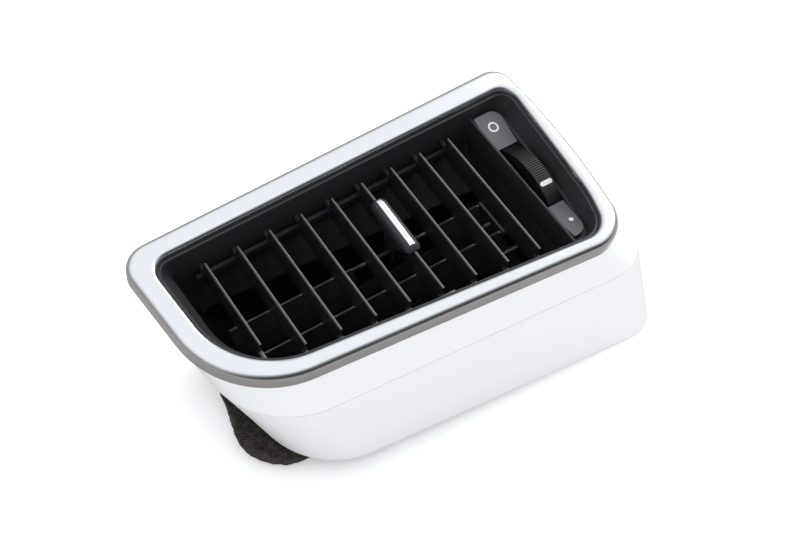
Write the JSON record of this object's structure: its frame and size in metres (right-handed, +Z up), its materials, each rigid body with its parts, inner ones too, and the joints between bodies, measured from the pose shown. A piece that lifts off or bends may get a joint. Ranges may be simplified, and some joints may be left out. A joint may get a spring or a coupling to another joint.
{
  "type": "air_vent",
  "caption": "B-pillar air vent with a bright trim ring, upright vanes with a slider tab, crosswise rear vanes, thumbwheel damper, pale shroud and foam inlet seal.",
  "frame": {"origin": "centre of the overall box in X and Y, on the table that the vent rests on", "axes": "X along the row of front vanes, Z up from the table, Y towards the vanes' top ends; the face is tilted 9.3 degrees about X"},
  "size_m": [0.1826, 0.0958, 0.0773],
  "materials": {
    "satin_metal": "satin bright metal finish",
    "white_shell": "near-white satin moulding",
    "black_plastic": "black satin moulding",
    "vane_plastic": "black satin blade",
    "grey_plastic": "dark grey satin plate",
    "wheel_plastic": "black ribbed wheel",
    "white_mark": "white inlay",
    "gear_plastic": "natural acetal",
    "foam": "dark brown open-cell foam",
    "screw_steel": "zinc-plated steel"
  },
  "bodies": {
    "case": {"trim_ring": "satin_metal", "upper_shroud": "white_shell", "lower_shroud": "white_shell", "front_frame": "black_plastic", "control_plate": "grey_plastic", "duct_housing": "black_plastic", "foam_seal": "foam", "housing_screws": "screw_steel"},
    "front_link": {"front_link_bar": "black_plastic"},
    "tab": {"slider_tab": "black_plastic", "tab_insert": "satin_metal"},
    "rear_link": {"rear_link_bar": "black_plastic"},
    "wheel": {"thumbwheel": "wheel_plastic", "wheel_mark": "white_mark"},
    "damper": {"damper_flap": "black_plastic", "damper_seal": "foam", "damper_gear": "gear_plastic"},
    "front_1": {"front_vane_1": "vane_plastic"},
    "front_2": {"front_vane_2": "vane_plastic"},
    "front_3": {"front_vane_3": "vane_plastic"},
    "front_4": {"front_vane_4": "vane_plastic"},
    "front_5": {"front_vane_5": "vane_plastic"},
    "front_6": {"front_vane_6": "vane_plastic"},
    "front_7": {"front_vane_7": "vane_plastic"},
    "front_8": {"front_vane_8": "vane_plastic"},
    "front_9": {"front_vane_9": "vane_plastic"},
    "rear_1": {"rear_vane_1": "vane_plastic"},
    "rear_2": {"rear_vane_2": "vane_plastic"}
  },
  "joints": [
    {"name": "front_1_turn", "type": "hinge", "parent": "case", "child": "front_1", "pos_m": [-0.06494, 0.0008, 0.05721], "axis": [0, 0.9869, 0.1616], "range_deg": [-35, 35]},
    {"name": "front_2_turn", "type": "hinge", "parent": "case", "child": "front_2", "pos_m": [-0.05194, 0.0008, 0.05721], "axis": [0, 0.9869, 0.1616], "range_deg": [-35, 35]},
    {"name": "front_3_turn", "type": "hinge", "parent": "case", "child": "front_3", "pos_m": [-0.03894, 0.0008, 0.05721], "axis": [0, 0.9869, 0.1616], "range_deg": [-35, 35]},
    {"name": "front_4_turn", "type": "hinge", "parent": "case", "child": "front_4", "pos_m": [-0.02594, 0.0008, 0.05721], "axis": [0, 0.9869, 0.1616], "range_deg": [-35, 35]},
    {"name": "front_5_turn", "type": "hinge", "parent": "case", "child": "front_5", "pos_m": [-0.01294, 0.0008, 0.05721], "axis": [0, 0.9869, 0.1616], "range_deg": [-35, 35]},
    {"name": "front_6_turn", "type": "hinge", "parent": "case", "child": "front_6", "pos_m": [0.00006, 0.0008, 0.05721], "axis": [0, 0.9869, 0.1616], "range_deg": [-34.8, 34.8]},
    {"name": "front_7_turn", "type": "hinge", "parent": "case", "child": "front_7", "pos_m": [0.01306, 0.0008, 0.05721], "axis": [0, 0.9869, 0.1616], "range_deg": [-35, 35]},
    {"name": "front_8_turn", "type": "hinge", "parent": "case", "child": "front_8", "pos_m": [0.02606, 0.0008, 0.05721], "axis": [0, 0.9869, 0.1616], "range_deg": [-35, 35]},
    {"name": "front_9_turn", "type": "hinge", "parent": "case", "child": "front_9", "pos_m": [0.03906, 0.0008, 0.05721], "axis": [0, 0.9869, 0.1616], "range_deg": [-35, 35]},
    {"name": "front_link_turn", "type": "hinge", "parent": "front_6", "child": "front_link", "pos_m": [0.00006, 0.02862, 0.05771], "axis": [0, 0.9869, 0.1616], "range_deg": [-35, 35]},
    {"name": "tab_slide", "type": "slide", "parent": "front_6", "child": "tab", "axis": [0, 0.9869, 0.1616], "range_m": [-0.0098, 0]},
    {"name": "rear_1_turn", "type": "hinge", "parent": "case", "child": "rear_1", "pos_m": [-0.01494, 0.00261, 0.0406], "axis": [-1, 0, 0], "range_deg": [-66.03, 0.05]},
    {"name": "rear_2_turn", "type": "hinge", "parent": "case", "child": "rear_2", "pos_m": [-0.01494, -0.01091, 0.03839], "axis": [-1, 0, 0], "range_deg": [-66.03, 0.05]},
    {"name": "rear_link_turn", "type": "hinge", "parent": "rear_1", "child": "rear_link", "pos_m": [0.03966, 0.00622, 0.04884], "axis": [-1, 0, 0], "range_deg": [-0.05, 66.03]},
    {"name": "wheel_turn", "type": "hinge", "parent": "case", "child": "wheel", "pos_m": [0.05796, 0.0029, 0.04256], "axis": [1, 0, 0], "range_deg": [-46, 14]},
    {"name": "damper_turn", "type": "hinge", "parent": "case", "child": "damper", "pos_m": [-0.01494, 0.00509, 0.01866], "axis": [1, 0, 0], "range_deg": [-19.7, 64.5]}
  ],
  "couplings": [
    {"joint": "front_1_turn", "follows": "front_6_turn", "ratio": 1},
    {"joint": "front_2_turn", "follows": "front_6_turn", "ratio": 1},
    {"joint": "front_3_turn", "follows": "front_6_turn", "ratio": 1},
    {"joint": "front_4_turn", "follows": "front_6_turn", "ratio": 1},
    {"joint": "front_5_turn", "follows": "front_6_turn", "ratio": 1},
    {"joint": "front_7_turn", "follows": "front_6_turn", "ratio": 1},
    {"joint": "front_8_turn", "follows": "front_6_turn", "ratio": 1},
    {"joint": "front_9_turn", "follows": "front_6_turn", "ratio": 1},
    {"joint": "front_link_turn", "follows": "front_6_turn", "ratio": -1},
    {"joint": "rear_1_turn", "follows": "tab_slide", "rad_per_m": 117.5},
    {"joint": "rear_2_turn", "follows": "tab_slide", "rad_per_m": 117.5},
    {"joint": "rear_link_turn", "follows": "tab_slide", "rad_per_m": -117.5},
    {"joint": "damper_turn", "follows": "wheel_turn", "ratio": -1.4}
  ]
}
